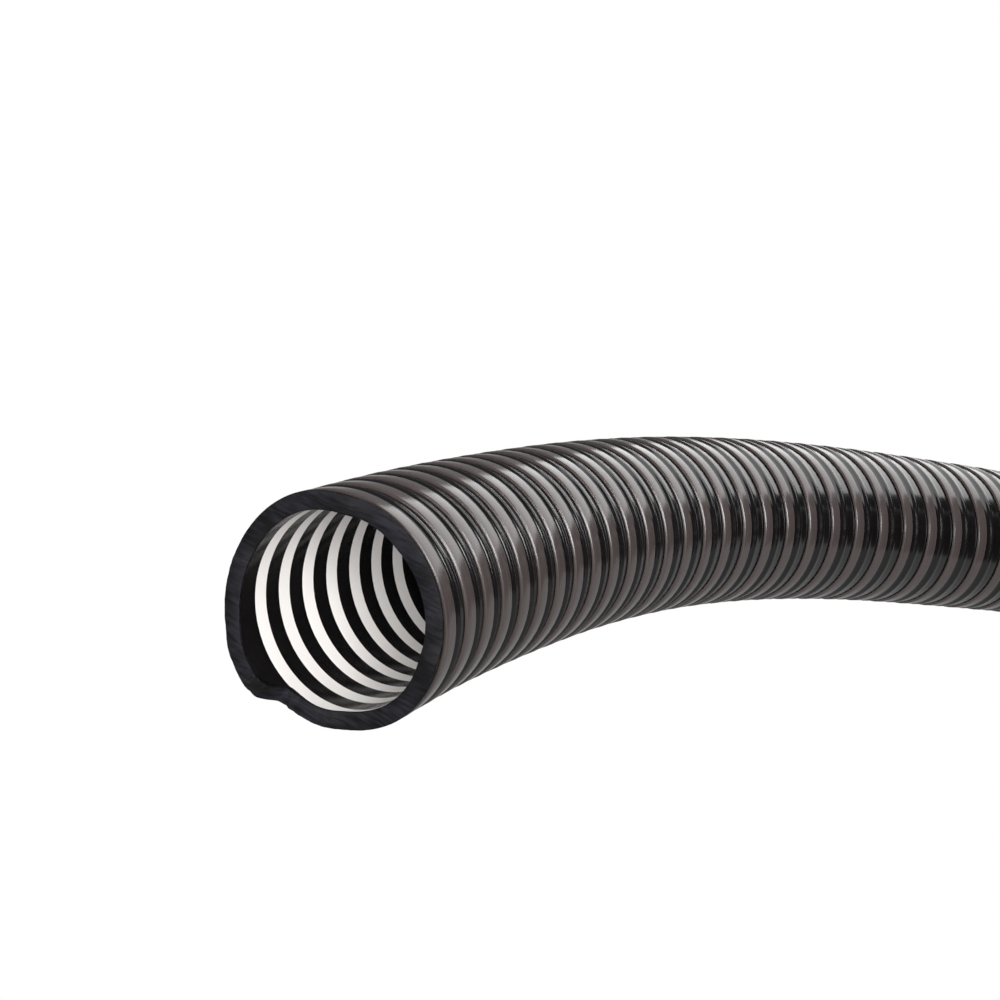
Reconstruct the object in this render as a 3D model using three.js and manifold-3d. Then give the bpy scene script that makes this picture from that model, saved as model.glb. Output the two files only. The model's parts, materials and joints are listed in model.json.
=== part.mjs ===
// Pool vacuum hose, about 6 m long: a smooth-bored soft wall wound round a rigid helical rib.
// The near end is a bare cut lying straight along +X, the hose curves away over the ground,
// and the rest is wound into a tied coil of two layers with the swivel cuff lying on top.
// Millimetres, +Z up, ground at z = 0, origin under the centre of the whole model's box.

import * as THREE from "three";
import { mergeVertices } from "three/addons/utils/BufferGeometryUtils.js";
import Module from "manifold-3d";

const wasm = await Module();
wasm.setup();

// ---- hose ----
const BORE = 38; // inside diameter
const WALL = 3.5; // from the bore to the outside of the ribs
const RIB_PITCH = 7.3; // advance of the helix each turn, right-handed
const RIB_WIRE = 2.2; // diameter of the rigid rib inside the wall
const STUB_LENGTH = 48; // hollow stretch modelled at the cut end
const RIB_MARGIN = 5; // the rib starts and stops this far inside a cut end
const GAP = 0.3; // clearance between touching pieces

// ---- coil ----
const COIL_MIDDLE = 450; // diameter across at the middle of the turns
const COIL_WIDE = 2; // turns side by side
const COIL_HIGH = 2; // layers
const COIL_ENTRY = 50.3; // where the hose runs on to the coil, degrees from +X

// ---- ties ----
const TIE_ANGLES = [25, 295, 205, 115]; // round the coil, degrees from +X
const TIE_WIDTH = 25;
const TIE_THICK = 2;
const TIE_GAP = 1; // a tie stands off the curved coil by this much
const TIE_TAIL_GAP = 2; // and off the sloping tail by this much
const TIE_RING_BAR = 3.2; // side of the cinch ring's square bar
const TIE_RING_SPAN = 18; // between its two long bars
const TIE_LAP = 40; // height of the folded-back end over the cinch ring

// ---- tail on top of the coil ----
const TAIL_START = 300; // the tail leaves the coil's solid here, degrees from +X
const TAIL_CLIMB = 85; // degrees used by its climb, which begins past the second tie
const TAIL_BLEND = 100; // degrees used to come in to the cuff's line

// ---- swivel cuff on the tail's end, pointing along +X ----
const CUFF_ANGLE = 90; // where the cuff leaves the coil's curve
const CUFF_INSET = 17.5; // how far the cuff's line lies inside the coil's outer turn
const HOSE_SHOWS = 6; // straight hose between the tail and the sleeve
const SLEEVE_WALL = 2.2;
const SLEEVE_LENGTH = 46;
const SLEEVE_LIP = 4; // stop that the hose's end butts on
const FLANGE_THICK = 4;
const FLANGE_HIGH = 1.4; // how far the flange stands over the sleeve
const WASHER_THICK = 1.4;
const CAP_LENGTH = 14; // part of the cap that is inside the cuff
const CAP_RIM = 4;
const SEAL_THICK = 2.4;
const SEAL_HIGH = 5;
const CUFF_WALL = 2.6;
const CUFF_SHOULDER = 4;
const CUFF_BORE = 38.4; // takes the spigot of a 38 mm fitting
const CUFF_MOUTH_WALL = 3.8;
const CUFF_MOUTH_LENGTH = 40;
const CUFF_TAPER_LENGTH = 12;

const RB = BORE / 2;
const R = RB + WALL;
const DEG = Math.PI / 180;
const RING_SIDES = 24;
const COIL_STEPS = 48;
const RIB_RADIUS = RB + GAP + RIB_WIRE / 2; // rib centre: its channel just reaches the bore

// Centreline of the hose from the cut end to the coil: x, y, and how far the hose is off the ground.
const ROUTE = [
  [-246.0, 327.5, 0],
  [-225.5, 327.5, 0],
  [-204.9, 326.4, 0],
  [-184.5, 324.5, 0],
  [-164.1, 321.8, 0],
  [-144.0, 317.9, 0],
  [-124.1, 312.7, 0],
  [-104.7, 305.9, 0],
  [-85.9, 297.7, 0],
  [-67.8, 288.1, 0],
  [-50.3, 277.3, 0],
  [-33.5, 265.5, 0],
  [-17.1, 253.1, 0.02],
  [-1.0, 240.4, 0.07],
  [15.1, 227.6, 0.16],
  [31.1, 214.8, 0.3],
  [47.1, 201.9, 0.5],
  [63.1, 188.9, 0.8],
  [79.0, 175.9, 1.2],
  [94.8, 162.9, 1.6],
  [110.7, 149.8, 2.1],
  [126.5, 136.7, 2.5],
  [142.3, 123.6, 2.8],
  [158.1, 110.4, 3],
];

// ---------- small tools for solids ----------

function toSolid(geometry) {
  const g = geometry.index ? geometry.toNonIndexed() : geometry.clone();
  g.deleteAttribute("normal");
  g.deleteAttribute("uv");
  const merged = mergeVertices(g, 1e-3);
  return new wasm.Manifold(
    new wasm.Mesh({
      numProp: 3,
      vertProperties: new Float32Array(merged.attributes.position.array),
      triVerts: new Uint32Array(merged.index.array),
    }),
  );
}

function toGeometry(solid) {
  const m = solid.getMesh();
  const count = m.vertProperties.length / m.numProp;
  const position = new Float32Array(count * 3);
  for (let i = 0; i < count; i++) {
    position.set(m.vertProperties.subarray(i * m.numProp, i * m.numProp + 3), i * 3);
  }
  const g = new THREE.BufferGeometry();
  g.setAttribute("position", new THREE.BufferAttribute(position, 3));
  g.setIndex(new THREE.BufferAttribute(new Uint32Array(m.triVerts), 1));
  return g;
}

function circlePoints(radius, sides) {
  const points = [];
  for (let i = 0; i < sides; i++) {
    const a = (2 * Math.PI * i) / sides;
    points.push(new THREE.Vector2(radius * Math.cos(a), radius * Math.sin(a)));
  }
  return points;
}

// A round section swept along a curve, hollow when an inner radius is given.
function sweptTube(curve, steps, outer, sides, inner = 0) {
  const shape = new THREE.Shape(circlePoints(outer, sides));
  if (inner > 0) shape.holes.push(new THREE.Path(circlePoints(inner, sides)));
  return new THREE.ExtrudeGeometry(shape, { steps, extrudePath: curve, bevelEnabled: false });
}

// A turned ring about the X axis from a closed profile of [x, radius] corners.
function turnedRing(profile, sides = RING_SIDES) {
  const closed = [...profile, profile[0]].reverse().map(([x, r]) => new THREE.Vector2(r, x));
  const g = new THREE.LatheGeometry(closed, sides);
  g.rotateZ(-Math.PI / 2);
  return g;
}

// Part of a longer curve, between two fractions of its length.
class Stretch extends THREE.Curve {
  constructor(whole, from, to) {
    super();
    this.whole = whole;
    this.from = from;
    this.to = to;
  }
  getPoint(t, target = new THREE.Vector3()) {
    return target.copy(this.whole.getPointAt(this.from + (this.to - this.from) * t));
  }
}

// The rib's right-handed helix about a level curve, from one turn to another after an origin.
class RibHelix extends THREE.Curve {
  constructor(whole, origin, fromTurn, toTurn) {
    super();
    this.whole = whole;
    this.wholeLength = whole.getLength();
    this.origin = origin;
    this.fromTurn = fromTurn;
    this.toTurn = toTurn;
  }
  getPoint(t, target = new THREE.Vector3()) {
    const turn = this.fromTurn + (this.toTurn - this.fromTurn) * t;
    const share = (this.origin + turn * RIB_PITCH) / this.wholeLength;
    const forward = this.whole.getTangentAt(share);
    const side = new THREE.Vector3(forward.y, -forward.x, 0).normalize();
    const up = new THREE.Vector3().crossVectors(side, forward);
    const angle = -2 * Math.PI * turn;
    target.copy(this.whole.getPointAt(share));
    target.addScaledVector(side, RIB_RADIUS * Math.cos(angle));
    target.addScaledVector(up, RIB_RADIUS * Math.sin(angle));
    return target;
  }
}

const smooth = (u) => {
  const v = Math.min(Math.max(u, 0), 1);
  return v * v * (3 - 2 * v);
};

// ---------- paths ----------

const routePoints = ROUTE.map(([x, y, lift]) => new THREE.Vector3(x, y, R + lift));
const runCurve = new THREE.CatmullRomCurve3(routePoints, false, "centripetal");
runCurve.arcLengthDivisions = 800;
const runLength = runCurve.getLength();

const coilInner = COIL_MIDDLE / 2 - COIL_WIDE * R;
const coilOuter = COIL_MIDDLE / 2 + COIL_WIDE * R;
const coilLow = TIE_GAP + TIE_THICK; // the coil lies on its ties
const coilTop = coilLow + COIL_HIGH * 2 * R;
const outerTurn = coilOuter - R;
const entry = routePoints.at(-1); // the route ends on the coil's outer turn
const coilCentre = [
  entry.x - outerTurn * Math.cos(COIL_ENTRY * DEG),
  entry.y - outerTurn * Math.sin(COIL_ENTRY * DEG),
];
const tailHeight = coilTop + TIE_GAP + TIE_THICK + GAP + R;
const sleeveBore = R + GAP;
const sleeveOuter = sleeveBore + SLEEVE_WALL;
const flangeOuter = sleeveOuter + FLANGE_HIGH;
const cuffInner = flangeOuter + GAP;
const cuffOuter = cuffInner + CUFF_WALL;
const cuffHeight = coilTop + GAP + cuffOuter;

const cuffRadius = outerTurn - CUFF_INSET;
const climbStart = TIE_ANGLES[1] - TIE_WIDTH / 2 / outerTurn / DEG;

// The tail climbs off the coil, goes on over its outer turn and comes in to the cuff's line.
class TailPath extends THREE.Curve {
  static at(angle) {
    const climb = smooth((climbStart - angle) / TAIL_CLIMB);
    const inward = smooth((CUFF_ANGLE + TAIL_BLEND - angle) / TAIL_BLEND);
    const rise = smooth((CUFF_ANGLE + TAIL_BLEND / 2 - angle) / (TAIL_BLEND / 2));
    const low = coilTop - R;
    return {
      radius: outerTurn + (cuffRadius - outerTurn) * inward,
      z: low + (tailHeight - low) * climb + (cuffHeight - tailHeight) * rise,
    };
  }
  getPoint(t, target = new THREE.Vector3()) {
    const angle = TAIL_START - t * (TAIL_START - CUFF_ANGLE);
    const { radius, z } = TailPath.at(angle);
    return target.set(
      coilCentre[0] + radius * Math.cos(angle * DEG),
      coilCentre[1] + radius * Math.sin(angle * DEG),
      z,
    );
  }
}

// ---------- finishes ----------

const finish = (color, roughness) => () =>
  new THREE.MeshStandardMaterial({ color, roughness, metalness: 0 });
const blackWall = finish(0x0b0b0d, 0.28);
const whiteRib = finish(0xe9e4df, 0.4);
const cuffPlastic = finish(0x17181b, 0.5);
const blackRubber = finish(0x0d0d0e, 0.75);
const tieFabric = finish(0x141416, 0.9);
const tiePlastic = finish(0x1a1a1c, 0.45);

const part = new THREE.Group();

function add(name, geometry, material, parent = part) {
  const mesh = new THREE.Mesh(geometry, material());
  mesh.name = name;
  parent.add(mesh);
  return mesh;
}

// ---------- the hose's hollow ends ----------

// Soft wall with a helical channel, open to the bore, and the rigid rib that lies in it.
function addHollowEnd(name, curve, length, steps) {
  const whole = curve.getLength();
  const wall = toSolid(sweptTube(new Stretch(curve, 0, length / whole), steps, R, RING_SIDES, RB));
  const turns = (length - 2 * RIB_MARGIN) / RIB_PITCH;
  const slack = (2 * GAP) / (2 * Math.PI * RIB_RADIUS);
  const ribSteps = Math.round(turns * 12);
  const channelCurve = new RibHelix(curve, RIB_MARGIN, 0, turns);
  const channel = toSolid(sweptTube(channelCurve, ribSteps, RIB_WIRE / 2 + GAP, 6));
  const ribCurve = new RibHelix(curve, RIB_MARGIN, slack, turns - slack);
  add(name + "_wall", toGeometry(wall.subtract(channel)), blackWall);
  add(name + "_rib", sweptTube(ribCurve, ribSteps, RIB_WIRE / 2, 6), whiteRib);
}

// ---------- the coil, and the plain stretches that run on to it and off it ----------

// A turned ring with rounded corners, grown by a margin.
function coilRing(margin) {
  const corner = R + margin;
  const corners = [
    [coilOuter - R, coilTop - R, 0],
    [coilInner + R, coilTop - R, 1],
    [coilInner + R, coilLow + R, 2],
    [coilOuter - R, coilLow + R, 3],
  ];
  const profile = [];
  for (const [x, y, quarter] of corners) {
    for (let i = 0; i <= 3; i++) {
      const a = ((quarter + i / 3) * Math.PI) / 2;
      profile.push(new THREE.Vector2(x + corner * Math.cos(a), y + corner * Math.sin(a)));
    }
  }
  profile.push(profile[0].clone());
  const g = new THREE.LatheGeometry(profile, COIL_STEPS);
  g.rotateX(Math.PI / 2);
  g.translate(coilCentre[0], coilCentre[1], 0);
  return g;
}

function addCoil() {
  add("hose_coil", coilRing(0), blackWall);
  const clear = toSolid(coilRing(GAP));
  const runFrom = (STUB_LENGTH + GAP) / runLength;
  const run = toSolid(sweptTube(new Stretch(runCurve, runFrom, 1), 24, R, 10));
  add("hose_run", toGeometry(biggest(run.subtract(clear))), blackWall);
  const tail = toSolid(sweptTube(new TailPath(), 42, R, 10));
  add("hose_tail", toGeometry(biggest(tail.subtract(clear))), blackWall);
}

function biggest(solid) {
  const bodies = solid.decompose();
  bodies.sort((a, b) => b.volume() - a.volume());
  return bodies[0];
}

// ---------- the ties ----------

// Outline of a band pulled round some circles, each [x, y, radius], as points.
function bandOutline(circles, margin) {
  const points = [];
  for (const [x, y, radius] of circles) {
    for (let i = 0; i < 16; i++) {
      const a = (2 * Math.PI * i) / 16;
      points.push([x + (radius + margin) * Math.cos(a), y + (radius + margin) * Math.sin(a)]);
    }
  }
  points.sort((a, b) => a[0] - b[0] || a[1] - b[1]);
  const cross = (o, a, b) => (a[0] - o[0]) * (b[1] - o[1]) - (a[1] - o[1]) * (b[0] - o[0]);
  const half = (list) => {
    const chain = [];
    for (const p of list) {
      while (chain.length > 1 && cross(chain.at(-2), chain.at(-1), p) <= 1e-6) chain.pop();
      chain.push(p);
    }
    chain.pop();
    return chain;
  };
  return [...half(points), ...half(points.reverse())].map((p) => new THREE.Vector2(...p));
}

function prism(outline, width) {
  const g = new THREE.ExtrudeGeometry(new THREE.Shape(outline), {
    depth: width,
    bevelEnabled: false,
  });
  g.translate(0, 0, -width / 2);
  return toSolid(g);
}

function block(x0, x1, y0, y1, width) {
  const g = new THREE.BoxGeometry(x1 - x0, y1 - y0, width);
  g.translate((x0 + x1) / 2, (y0 + y1) / 2, 0);
  return toSolid(g);
}

function rod(x, y, radius, width) {
  const g = new THREE.CylinderGeometry(radius, radius, width, 12);
  g.rotateX(Math.PI / 2);
  g.translate(x, y, 0);
  return toSolid(g);
}

// One tie at an angle round the coil: a band, and the cinch ring that its two ends turn round.
// Here x is outwards from the coil's centre, y is up, and z is along the coil.
function addTie(index, angle) {
  const circles = [coilInner + R, coilOuter - R].flatMap((x) => [
    [x, coilLow + R, R + TIE_GAP],
    [x, coilTop - R, R + TIE_GAP],
  ]);
  const tail = TailPath.at(angle);
  const underTail = angle > CUFF_ANGLE && tail.z > coilTop + R;
  if (underTail) circles.push([tail.radius, tail.z, R + TIE_TAIL_GAP]);
  const eyeHole = (TIE_RING_BAR * Math.SQRT2) / 2 + GAP;
  const eye = eyeHole + TIE_THICK;
  const eyeX = coilOuter + TIE_GAP + eye;
  const middle = (coilLow + coilTop) / 2;
  const eyes = [middle - TIE_RING_SPAN / 2, middle + TIE_RING_SPAN / 2];
  const inner = prism(bandOutline(circles, 0), TIE_WIDTH + 10);
  const lapShare = prism(bandOutline(circles, 2 * TIE_THICK), TIE_WIDTH);
  const lapBox = block(coilOuter - R, coilOuter + 50, eyes[1], eyes[1] + TIE_LAP, TIE_WIDTH);
  const opening = block(eyeX - eye - 0.5, eyeX + eye + 20, eyes[0], eyes[1], TIE_WIDTH + 10);
  let band = prism(bandOutline(circles, TIE_THICK), TIE_WIDTH);
  band = band.add(lapShare.intersect(lapBox)).subtract(inner).subtract(opening);
  for (const y of eyes) band = band.add(rod(eyeX, y, eye, TIE_WIDTH));
  for (const y of eyes) band = band.subtract(rod(eyeX, y, eyeHole, TIE_WIDTH + 10));

  const wide = TIE_WIDTH / 2 + GAP;
  const high = (TIE_RING_SPAN - TIE_RING_BAR) / 2;
  const frame = new THREE.Shape(roundedBox(wide + TIE_RING_BAR, high + TIE_RING_BAR, 3));
  frame.holes.push(new THREE.Path(roundedBox(wide, high, 1)));
  const ring = new THREE.ExtrudeGeometry(frame, { depth: TIE_RING_BAR, bevelEnabled: false });
  ring.translate(0, 0, -TIE_RING_BAR / 2);
  ring.rotateY(Math.PI / 2);
  ring.translate(eyeX, middle, 0);

  const outward = new THREE.Vector3(Math.cos(angle * DEG), Math.sin(angle * DEG), 0);
  const up = new THREE.Vector3(0, 0, 1);
  const along = new THREE.Vector3().crossVectors(outward, up);
  const place = new THREE.Matrix4().makeBasis(outward, up, along);
  place.setPosition(coilCentre[0], coilCentre[1], 0);
  const holder = new THREE.Group();
  holder.applyMatrix4(place);
  part.add(holder);
  add("tie_band_" + index, toGeometry(band), tieFabric, holder);
  add("tie_ring_" + index, ring, tiePlastic, holder);
}

function roundedBox(halfWide, halfHigh, corner) {
  const points = [];
  const corners = [
    [halfWide - corner, halfHigh - corner, 0],
    [corner - halfWide, halfHigh - corner, 1],
    [corner - halfWide, corner - halfHigh, 2],
    [halfWide - corner, corner - halfHigh, 3],
  ];
  for (const [x, y, quarter] of corners) {
    for (let i = 0; i <= 2; i++) {
      const a = ((quarter + i / 2) * Math.PI) / 2;
      points.push(new THREE.Vector2(x + corner * Math.cos(a), y + corner * Math.sin(a)));
    }
  }
  return points;
}

// ---------- the swivel cuff ----------

// The sleeve is fixed on the hose's end. The shell and its cap turn round the sleeve's flange.
function addCuff() {
  const cuff = new THREE.Group();
  const start = [coilCentre[0], coilCentre[1] + cuffRadius, cuffHeight];
  cuff.position.set(start[0] + HOSE_SHOWS, start[1], start[2]);
  part.add(cuff);

  const flangeBack = SLEEVE_LENGTH - FLANGE_THICK;
  const washerBack = flangeBack - GAP - WASHER_THICK;
  const capFront = washerBack - GAP;
  const capBack = capFront - CAP_LENGTH;
  const sealFront = SLEEVE_LENGTH + GAP + SEAL_THICK;
  const shoulder = sealFront + GAP;
  const taperStart = shoulder + CUFF_SHOULDER;
  const taperEnd = taperStart + CUFF_TAPER_LENGTH;
  const mouth = taperEnd + CUFF_MOUTH_LENGTH;
  const mouthOuter = CUFF_BORE / 2 + CUFF_MOUTH_WALL;

  const sleeve = [
    [0, sleeveBore],
    [SLEEVE_LENGTH - SLEEVE_LIP, sleeveBore],
    [SLEEVE_LENGTH - SLEEVE_LIP, RB + GAP],
    [SLEEVE_LENGTH, RB + GAP],
    [SLEEVE_LENGTH, flangeOuter],
    [flangeBack, flangeOuter],
    [flangeBack, sleeveOuter],
    [0, sleeveOuter],
  ];
  const washer = [
    [washerBack, sleeveOuter + GAP],
    [washerBack + WASHER_THICK, sleeveOuter + GAP],
    [washerBack + WASHER_THICK, flangeOuter],
    [washerBack, flangeOuter],
  ];
  const cap = [
    [capBack - CAP_RIM, sleeveOuter + GAP],
    [capFront, sleeveOuter + GAP],
    [capFront, flangeOuter],
    [capBack, flangeOuter],
    [capBack, cuffOuter],
    [capBack - CAP_RIM, cuffOuter],
  ];
  const seal = [
    [SLEEVE_LENGTH + GAP, flangeOuter - SEAL_HIGH],
    [sealFront, flangeOuter - SEAL_HIGH],
    [sealFront, flangeOuter],
    [SLEEVE_LENGTH + GAP, flangeOuter],
  ];
  const shell = [
    [capBack + GAP, cuffInner],
    [shoulder, cuffInner],
    [shoulder, CUFF_BORE / 2],
    [mouth, CUFF_BORE / 2],
    [mouth, mouthOuter],
    [taperEnd, mouthOuter],
    [taperStart, cuffOuter],
    [capBack + GAP, cuffOuter],
  ];
  add("cuff_sleeve", turnedRing(sleeve), cuffPlastic, cuff);
  add("cuff_washer", turnedRing(washer), whiteRib, cuff);
  add("cuff_cap", turnedRing(cap), cuffPlastic, cuff);
  add("cuff_seal", turnedRing(seal), blackRubber, cuff);
  add("cuff_shell", turnedRing(shell), cuffPlastic, cuff);

  const farLength = HOSE_SHOWS + SLEEVE_LENGTH - SLEEVE_LIP - GAP;
  const farFrom = new THREE.Vector3(start[0] + GAP, start[1], start[2]);
  const farTo = new THREE.Vector3(start[0] + farLength, start[1], start[2]);
  addHollowEnd("far_end", new THREE.LineCurve3(farFrom, farTo), farLength - GAP, 1);
}

addHollowEnd("cut_end", runCurve, STUB_LENGTH, 4);
addCoil();
TIE_ANGLES.forEach((angle, i) => addTie(i + 1, angle));
addCuff();

export default part;
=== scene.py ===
import json
from math import ceil, cos, pi, radians, sin

import bmesh
import bpy
from mathutils import Matrix, Vector


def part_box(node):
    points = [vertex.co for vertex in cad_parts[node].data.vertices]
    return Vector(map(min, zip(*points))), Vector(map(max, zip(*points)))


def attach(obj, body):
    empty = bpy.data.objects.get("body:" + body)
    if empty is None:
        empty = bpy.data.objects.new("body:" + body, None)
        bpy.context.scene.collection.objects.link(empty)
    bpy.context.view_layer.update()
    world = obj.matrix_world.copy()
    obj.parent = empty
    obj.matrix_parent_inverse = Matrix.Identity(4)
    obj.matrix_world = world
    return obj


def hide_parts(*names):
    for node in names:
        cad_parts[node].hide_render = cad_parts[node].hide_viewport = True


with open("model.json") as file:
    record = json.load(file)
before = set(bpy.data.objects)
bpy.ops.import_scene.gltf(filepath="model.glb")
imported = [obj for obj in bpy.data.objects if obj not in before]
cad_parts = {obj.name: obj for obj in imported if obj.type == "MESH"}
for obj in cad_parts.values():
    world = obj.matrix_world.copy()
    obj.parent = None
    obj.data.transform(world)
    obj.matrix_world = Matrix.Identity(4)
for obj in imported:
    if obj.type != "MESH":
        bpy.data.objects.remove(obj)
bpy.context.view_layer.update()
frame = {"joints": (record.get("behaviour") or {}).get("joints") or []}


# ---- camera ----
# It stands low in front of the bare end and looks along the hose's outer side, a little
# downwards, from about a forearm's length away.

camera_right = Vector((0.47212, -0.84203, 0.26093))
camera_up = Vector((0.15931, 0.37262, 0.91421))
camera_back = camera_right.cross(camera_up).normalized()
camera_place = Matrix((camera_right.normalized(), camera_back.cross(camera_right), camera_back))
camera_data = bpy.data.cameras.new("camera")
camera_data.lens = 45.55
camera_data.sensor_width = 36
camera_data.clip_start = 0.01
camera = bpy.data.objects.new("camera", camera_data)
camera.matrix_world = Matrix.Translation((-0.42702, 0.22129, 0.11913)) @ camera_place.transposed().to_4x4()
bpy.context.scene.collection.objects.link(camera)
bpy.context.scene.camera = camera
bpy.context.scene.view_settings.view_transform = "Standard"


# ---- the hose's line ----
# From the bare end the hose lies straight, then curves away over the ground. The rest is put
# away as a round coil of two layers, two turns wide, and its last half turn climbs over the
# coil and ends in the swivel cuff. The coil's place is its node's.

HOSE_OUTSIDE = 0.0225  # radius over the ribs
ROUTE = [
    (-0.2460, 0.3275, 0.0225),
    (-0.2255, 0.3275, 0.0225),
    (-0.2049, 0.3264, 0.0225),
    (-0.1845, 0.3245, 0.0225),
    (-0.1641, 0.3218, 0.0225),
    (-0.1440, 0.3179, 0.0225),
    (-0.1241, 0.3127, 0.0225),
    (-0.1047, 0.3059, 0.0225),
    (-0.0859, 0.2977, 0.0225),
    (-0.0678, 0.2881, 0.0225),
    (-0.0503, 0.2773, 0.0225),
    (-0.0335, 0.2655, 0.0225),
    (-0.0171, 0.2531, 0.02252),
    (-0.0010, 0.2404, 0.02257),
    (0.0151, 0.2276, 0.02266),
    (0.0311, 0.2148, 0.0228),
    (0.0471, 0.2019, 0.0230),
    (0.0631, 0.1889, 0.0233),
    (0.0790, 0.1759, 0.0237),
    (0.0948, 0.1629, 0.0241),
    (0.1107, 0.1498, 0.0246),
    (0.1265, 0.1367, 0.0250),
    (0.1423, 0.1236, 0.0253),
    (0.1581, 0.1104, 0.0255),
]
LEAD = 0.010  # the guide line starts this far before the bare end
# Places round the coil, in degrees from +X. The hose winds clockwise, seen from above.
ENTRY = 50.3
TAIL_START = 300
CLIMB_START = 292.1  # past the second tie
CLIMB_END = 207.1
SWING_START = 190  # where the tail leaves the outer turn for the cuff's line
DROP_START = 140
TAIL_END = 90
# Degrees of winding since the entry.
WOUND = 1190
INWARD = (260, 360)
UPWARD = (570, 670)
OUTWARD = (880, 980)
TAIL_LIFT = 0.0033  # room under the tail for the ties round the coil
CUFF_STEPS = 24


def between(a, b, ta, tb, t):
    return a * ((tb - t) / (tb - ta)) + b * ((t - ta) / (tb - ta))


def smooth_line(points, steps):
    """A centripetal Catmull-Rom line through the points, with that many steps between two."""
    ends = [points[0] * 2 - points[1], *points, points[-1] * 2 - points[-2]]
    line = []
    for p0, p1, p2, p3 in zip(ends, ends[1:], ends[2:], ends[3:]):
        t1 = (p1 - p0).length ** 0.5
        t2 = t1 + (p2 - p1).length ** 0.5
        t3 = t2 + (p3 - p2).length ** 0.5
        for i in range(steps):
            t = t1 + (t2 - t1) * i / steps
            a1 = between(p0, p1, 0, t1, t)
            a2 = between(p1, p2, t1, t2, t)
            a3 = between(p2, p3, t2, t3, t)
            line.append(between(between(a1, a2, 0, t2, t), between(a2, a3, t1, t3, t), t1, t2, t))
    return line


def eased(value, start, end):
    u = min(max((value - start) / (end - start), 0), 1)
    return u * u * (3 - 2 * u)


coil_low, coil_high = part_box("hose_coil")
coil_middle = (coil_low + coil_high) / 2
outer_turn = (coil_high.x - coil_low.x) / 2 - HOSE_OUTSIDE
cuff_joint = Vector(frame["joints"][0]["pos_m"])
cuff_distance = cuff_joint.y - coil_middle.y
hose_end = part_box("far_end_wall")[1].x
over_ties = coil_high.z + TAIL_LIFT + HOSE_OUTSIDE


def on_coil(angle, radius, height):
    a = radians(angle)
    return Vector((coil_middle.x + radius * cos(a), coil_middle.y + radius * sin(a), height))


def tail_place(angle):
    """How far from the coil's middle, and how high, the tail's centre lies at the angle."""
    radius = outer_turn + (cuff_distance - outer_turn) * eased(-angle, -SWING_START, -TAIL_END)
    top_layer = coil_high.z - HOSE_OUTSIDE
    height = top_layer + (over_ties - top_layer) * eased(-angle, -CLIMB_START, -CLIMB_END)
    return radius, height + (cuff_joint.z - over_ties) * eased(-angle, -DROP_START, -TAIL_END)


hose_line = smooth_line([Vector(p) for p in ROUTE], 8)
for wound in range(WOUND):
    inward = eased(wound, *INWARD) - eased(wound, *OUTWARD)
    layer = coil_low.z + HOSE_OUTSIDE + eased(wound, *UPWARD) * 2 * HOSE_OUTSIDE
    hose_line.append(on_coil(ENTRY - wound, outer_turn - inward * 2 * HOSE_OUTSIDE, layer))
for angle in range(TAIL_START, TAIL_END, -1):
    hose_line.append(on_coil(angle, *tail_place(angle)))
for i in range(CUFF_STEPS):
    hose_line.append(Vector((coil_middle.x + hose_end * i / (CUFF_STEPS - 1), cuff_joint.y, cuff_joint.z)))
hose_length = sum((b - a).length for a, b in zip(hose_line, hose_line[1:]))


# ---- hose ----
# Soft black plastic strip and rigid white plastic strip, drawn side by side and wound hot on
# a mandrel into one wall. Inside they lie flush. Outside the rigid strip stands up as a flat
# rib under a thin smoke-coloured skin, and the soft strip sinks between the ribs, with a
# small bead where it overlaps the rib's edge.

HOSE_BORE = 0.0190  # radius of the bore
RIB_PITCH = 0.0073
RIB_SPREAD = 0.0033  # the drawn-out soft strip adds this to the pitch past the end
SPREAD_FROM = 5  # turns
SPREAD_TO = 20
FIRST_RIB = 0.0025  # from the bare end to the first rib's middle, on the hose's -Y side
FIRST_TURN = -2.4  # the winding starts behind the knife's cut
CUT_DEEPEST = -0.007
CUT_SPAN = 0.010
CUT_FACE = 0.001  # the dark skin of the cut stands this far before the strips' ends
CUT_NOTCH = 0.69  # share of a turn at which the knife slipped and tore the edge
# The cut's wander round the end: share of a turn from -Y towards +Z, share of the span.
CUT_WANDER = [
    (0.00, 0.56), (0.05, 0.64), (0.11, 0.63), (0.17, 0.58), (0.23, 0.55), (0.27, 0.40), (0.31, 0.40),
    (0.38, 0.46), (0.43, 0.45), (0.50, 0.36), (0.58, 0.22), (0.64, 0.10), (0.67, 0.15), (0.69, 0.30),
    (0.70, 0.50), (0.71, 0.61), (0.76, 0.58), (0.82, 0.72), (0.90, 0.68), (1.00, 0.56),
]
CLOSE_TURNS = 33  # made finely from the bare end on
RIB_START = -1.25  # before this turn the soft plastic fills the rib's place
CUT_STEPS = 180  # in each turn at the cut
CLOSE_STEPS = 60
COIL_STEPS = 24

# Sections in millimetres: distance along the hose from the rib's middle, distance from the axis.
RIB_SECTION = [
    (-1.76, 21.85), (1.60, 19.0), (4.88, 19.0), (1.78, 21.85), (1.74, 22.14), (1.50, 22.36),
    (0.95, 22.43), (-0.25, 22.45), (-1.20, 22.50), (-1.56, 22.44), (-1.73, 22.20),
]
WALL_SECTION = [
    (1.80, 21.80), (4.90, 19.0), (8.88, 19.0), (5.52, 21.55), (5.44, 21.74), (5.24, 21.90),
    (4.85, 22.03), (4.30, 22.12), (3.80, 22.19), (3.50, 22.27), (3.30, 22.40), (3.10, 22.44),
    (2.90, 22.36), (2.70, 22.12), (2.45, 21.92), (2.05, 21.84),
]
RIB_SECTION_COARSE = [(-1.76, 22.0), (1.60, 19.0), (4.88, 19.0), (1.76, 22.0), (0.0, 22.5)]
WALL_SECTION_COARSE = [(1.80, 22.1), (4.90, 19.0), (8.88, 19.0), (5.50, 21.8)]
CUT_SECTION = [(0.10, 18.98), (0.10, 22.40), (-0.12, 22.44), (-0.24, 22.20), (-0.26, 19.20), (-0.16, 18.98)]


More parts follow.
